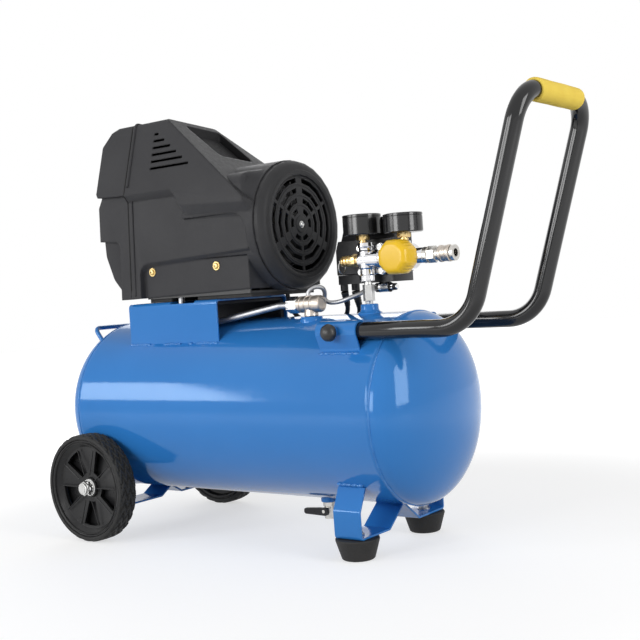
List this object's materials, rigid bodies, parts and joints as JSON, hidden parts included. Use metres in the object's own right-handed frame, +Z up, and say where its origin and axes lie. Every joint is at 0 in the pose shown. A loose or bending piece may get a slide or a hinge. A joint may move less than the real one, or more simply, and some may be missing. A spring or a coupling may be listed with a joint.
{
  "type": "air compressor",
  "caption": "Wheeled electric air compressor with a horizontal tank, shrouded motor and pump, push handle and a manifold with gauges.",
  "frame": {"origin": "bottom centre of the compressor on the floor, measured without its free mains cord", "axes": "+X along the tank towards the push handle, +Z up, the regulator knob faces -Y"},
  "size_m": [0.807, 0.6012, 0.6114],
  "materials": {
    "blue": "gloss enamel",
    "gloss_black": "gloss powder coat",
    "shroud_plastic": "fine textured moulding",
    "black_plastic": "satin moulding",
    "rubber": "matt",
    "tyre": "matt",
    "grip_yellow": "soft foam",
    "knob_yellow": "satin moulding",
    "zinc": "bright zinc plate",
    "nickel": "warm nickel plate",
    "chrome": "polished",
    "brass": "machined",
    "aluminium": "drawn tube",
    "cast": "as cast",
    "clear": "clear",
    "red": "satin"
  },
  "bodies": {
    "frame": {"tank_barrel": "blue", "tank_head_front": "blue", "tank_head_rear": "blue", "motor_bracket": "blue", "rear_rod_handle": "blue", "axle_bracket": "blue", "foot_bracket": "blue", "handle_saddle_left": "blue", "handle_saddle_right": "blue", "axle_bolt_left": "zinc", "axle_bolt_right": "zinc", "foot_left": "rubber", "foot_right": "rubber", "shroud_main": "shroud_plastic", "shroud_end_cover": "shroud_plastic", "fan_cover": "shroud_plastic", "motor_base": "gloss_black", "motor_stator": "cast", "pump_block": "cast", "rubber_mount_1_left": "rubber", "rubber_mount_1_right": "rubber", "rubber_mount_2_left": "rubber", "rubber_mount_2_right": "rubber", "discharge_tube": "aluminium", "check_valve": "nickel", "unloader_tube": "aluminium", "unloader_valve": "black_plastic", "riser_nipple": "zinc", "manifold_body": "chrome", "safety_valve": "brass", "coupler_body": "nickel", "gauge_case_tank": "black_plastic", "gauge_window_tank": "clear", "gauge_case_outlet": "black_plastic", "gauge_window_outlet": "clear", "pressure_switch_base": "black_plastic", "pressure_switch_cover": "black_plastic", "drain_valve": "nickel", "motor_lead": "rubber", "mains_lead": "rubber", "mains_coil": "rubber", "mains_plug": "rubber"},
    "handle": {"handle_bar": "gloss_black", "handle_grip": "grip_yellow"},
    "wheel_left": {"tyre_left": "tyre", "rim_left": "black_plastic"},
    "wheel_right": {"tyre_right": "tyre", "rim_right": "black_plastic"},
    "knob_left": {"lock_knob_left": "black_plastic"},
    "knob_right": {"lock_knob_right": "black_plastic"},
    "rotor": {"rotor_shaft": "zinc", "cooling_fan": "black_plastic"},
    "regulator": {"regulator_knob": "knob_yellow"},
    "drain": {"drain_lever": "black_plastic"},
    "switch_toggle": {"switch_lever": "red"},
    "relief_stem": {"safety_ring": "zinc"},
    "coupler_collar": {"coupler_sleeve": "nickel"},
    "needle_tank": {"gauge_needle_tank": "red"},
    "needle_outlet": {"gauge_needle_outlet": "red"}
  },
  "joints": [
    {"name": "handle_slide", "type": "slide", "parent": "frame", "child": "handle", "axis": [1, 0, 0], "range_m": [-0.11, 0]},
    {"name": "knob_left_turn", "type": "hinge", "parent": "frame", "child": "knob_left", "pos_m": [0.1165, -0.11, 0.2934], "axis": [0, -1, 0], "range_deg": [0, 360]},
    {"name": "knob_right_turn", "type": "hinge", "parent": "frame", "child": "knob_right", "pos_m": [0.1165, 0.11, 0.2934], "axis": [0, 1, 0], "range_deg": [0, 360]},
    {"name": "wheel_left_spin", "type": "hinge", "parent": "frame", "child": "wheel_left", "pos_m": [-0.3118, -0.143, 0.0792], "axis": [0, 1, 0], "continuous": true},
    {"name": "wheel_right_spin", "type": "hinge", "parent": "frame", "child": "wheel_right", "pos_m": [-0.3118, 0.143, 0.0792], "axis": [0, 1, 0], "continuous": true},
    {"name": "motor_spin", "type": "hinge", "parent": "frame", "child": "rotor", "pos_m": [-0.0245, 0, 0.4415], "axis": [1, 0, 0], "continuous": true},
    {"name": "regulator_turn", "type": "hinge", "parent": "frame", "child": "regulator", "pos_m": [0.1675, -0.02, 0.3845], "axis": [0, -1, 0], "range_deg": [0, 360]},
    {"name": "drain_lever_turn", "type": "hinge", "parent": "frame", "child": "drain", "pos_m": [0.0165, -0.0125, 0.039], "axis": [0, 1, 0], "range_deg": [-90, 0]},
    {"name": "switch_lever_turn", "type": "hinge", "parent": "frame", "child": "switch_toggle", "pos_m": [0.0885, 0.072, 0.4], "axis": [0, 1, 0], "range_deg": [-15, 15]},
    {"name": "relief_ring_pull", "type": "slide", "parent": "frame", "child": "relief_stem", "axis": [-1, 0, 0], "range_m": [0, 0.004], "stiffness_N_per_m": 1500},
    {"name": "coupler_sleeve_pull", "type": "slide", "parent": "frame", "child": "coupler_collar", "axis": [-1, 0, 0], "range_m": [0, 0.0045], "stiffness_N_per_m": 1500},
    {"name": "tank_needle_turn", "type": "hinge", "parent": "frame", "child": "needle_tank", "pos_m": [0.1025, 0, 0.439], "axis": [0, 0, -1], "range_deg": [0, 270], "stiffness_Nm_per_rad": 0.002},
    {"name": "outlet_needle_turn", "type": "hinge", "parent": "frame", "child": "needle_outlet", "pos_m": [0.1675, 0, 0.435], "axis": [0, 0, -1], "range_deg": [0, 270], "stiffness_Nm_per_rad": 0.002}
  ]
}
